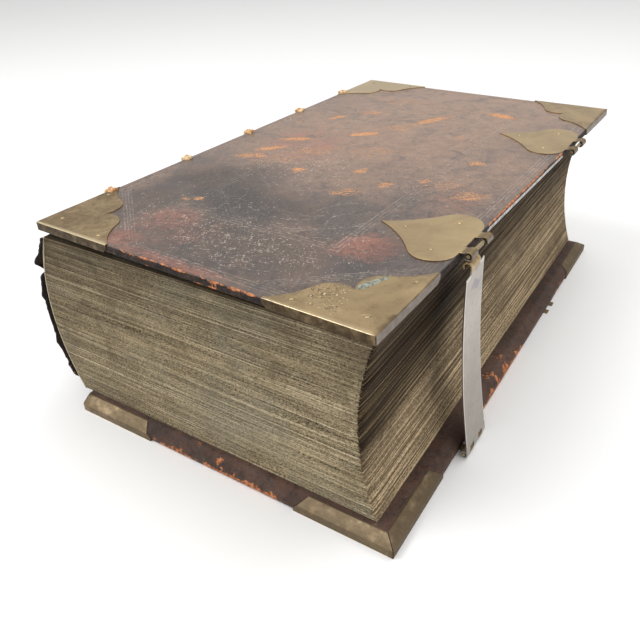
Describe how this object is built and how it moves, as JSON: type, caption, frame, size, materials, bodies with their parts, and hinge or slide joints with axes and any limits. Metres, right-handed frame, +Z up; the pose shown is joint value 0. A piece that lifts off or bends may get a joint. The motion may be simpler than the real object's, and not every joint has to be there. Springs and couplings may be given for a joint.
{
  "type": "antique bible",
  "caption": "Thick folio book in worn leather over bevelled boards, with brass corner pieces, leaf-shaped clasp plates and one hooked strap; covers and strap turn.",
  "frame": {"origin": "middle of the book's outline on the surface that it lies on", "axes": "+X from the spine to the fore-edge, +Y from tail to head, +Z up through the closed book"},
  "size_m": [0.3054, 0.4552, 0.1561],
  "materials": {
    "board_wood": "bare oak",
    "cover_leather": "worn blind-tooled calf",
    "spine_leather": "worn and torn calf",
    "pages": "browned page edges",
    "paper": "aged paper",
    "cord": "frayed hemp",
    "corner_brass": "tarnished and pitted",
    "plate_brass": "rubbed satin",
    "pin_brass": "worn",
    "strap_metal": "dull silvered"
  },
  "bodies": {
    "back_cover": {"lower_board": "board_wood", "lower_leather": "cover_leather", "lower_pastedown": "paper", "lower_corner_tail_fore": "corner_brass", "lower_corner_head_fore": "corner_brass", "lower_corner_tail_spine": "corner_brass", "lower_corner_head_spine": "corner_brass", "lower_corner_nails": "corner_brass", "hinge_plate_near": "plate_brass", "hinge_plate_far": "plate_brass", "hinge_plate_nails": "plate_brass", "hinge_pin_near": "pin_brass"},
    "text_block": {"text_block": "pages", "spine_lining": "paper", "spine_leather": "spine_leather", "sewing_cord_1": "cord", "sewing_cord_2": "cord", "sewing_cord_3": "cord", "sewing_cord_4": "cord", "sewing_cord_5": "cord"},
    "front_cover": {"upper_board": "board_wood", "upper_leather": "cover_leather", "upper_pastedown": "paper", "upper_corner_tail_fore": "corner_brass", "upper_corner_head_fore": "corner_brass", "upper_corner_tail_spine": "corner_brass", "upper_corner_head_spine": "corner_brass", "upper_corner_nails": "corner_brass", "catch_plate_near": "plate_brass", "catch_plate_far": "plate_brass", "catch_plate_nails": "plate_brass", "catch_pin_near": "pin_brass", "catch_pin_far": "pin_brass", "cord_ends": "cord"},
    "clasp_strap": {"clasp_strap": "strap_metal"}
  },
  "joints": [
    {"name": "back_joint", "type": "hinge", "parent": "back_cover", "child": "text_block", "pos_m": [-0.124, 0, 0.00075], "axis": [0, -1, 0], "range_deg": [0, 45]},
    {"name": "front_joint", "type": "hinge", "parent": "text_block", "child": "front_cover", "pos_m": [-0.12995, 0.0052, 0.15275], "axis": [-0.027, -0.9996, 0], "range_deg": [0, 115]},
    {"name": "strap_hinge", "type": "hinge", "parent": "back_cover", "child": "clasp_strap", "pos_m": [0.14975, -0.11564, 0.003], "axis": [0, 1, 0], "range_deg": [0, 93]}
  ]
}
